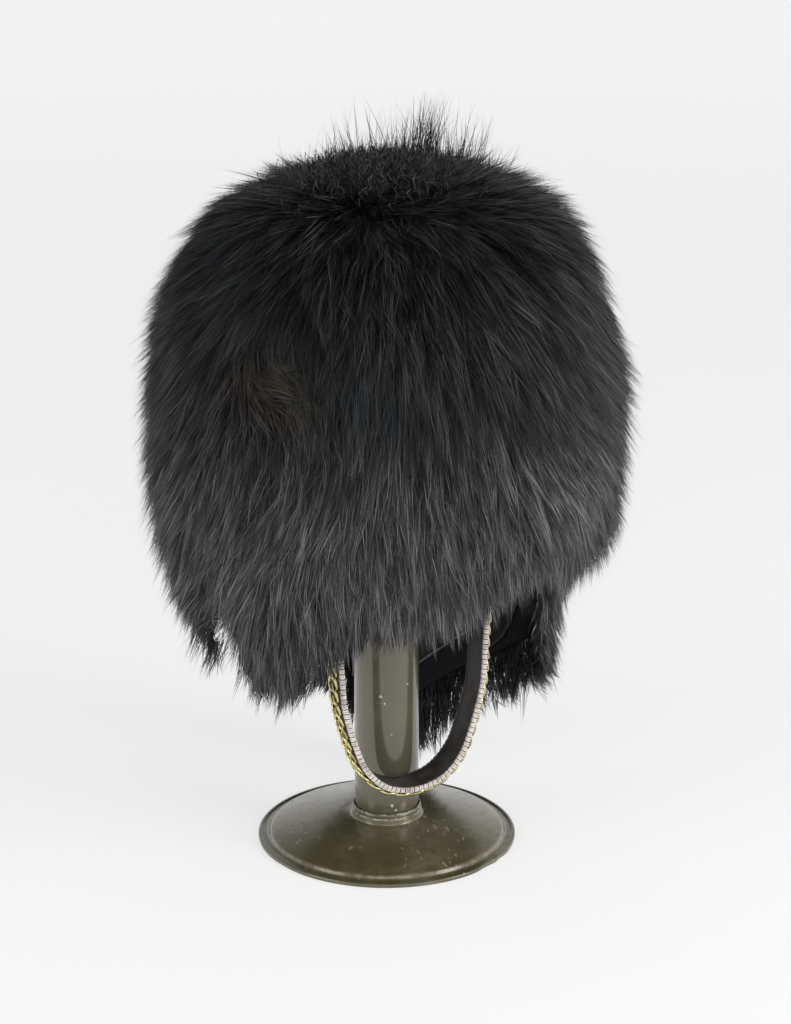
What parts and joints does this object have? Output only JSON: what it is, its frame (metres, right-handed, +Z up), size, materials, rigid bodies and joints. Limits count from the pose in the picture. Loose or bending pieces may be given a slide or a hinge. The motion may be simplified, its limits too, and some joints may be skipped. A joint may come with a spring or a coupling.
{
  "type": "bearskin busby on a metal stand",
  "caption": "Tall black bearskin cap with a leather chin strap and brass curb chain, held on a painted metal display stand with a round base",
  "frame": {"origin": "on the axis of the stand, at the level of the surface that it stands on", "axes": "+Z up, front of the cap at -Y, wearer's left at +X"},
  "size_m": [0.3239, 0.3308, 0.5093],
  "materials": {
    "stand_paint": "semi-gloss paint, chipped and scuffed",
    "lining": "matt black cloth",
    "band_leather": "satin",
    "fur": "long glossy hair",
    "strap_leather": "worn satin, oversewn edges",
    "chain_brass": "polished"
  },
  "bodies": {
    "root": {"stand_base": "stand_paint", "stand_column": "stand_paint", "stand_head": "stand_paint", "cap_shell": "lining", "headband": "band_leather", "fur": "fur", "chin_strap": "strap_leather", "chin_chain": "chain_brass"}
  },
  "joints": []
}
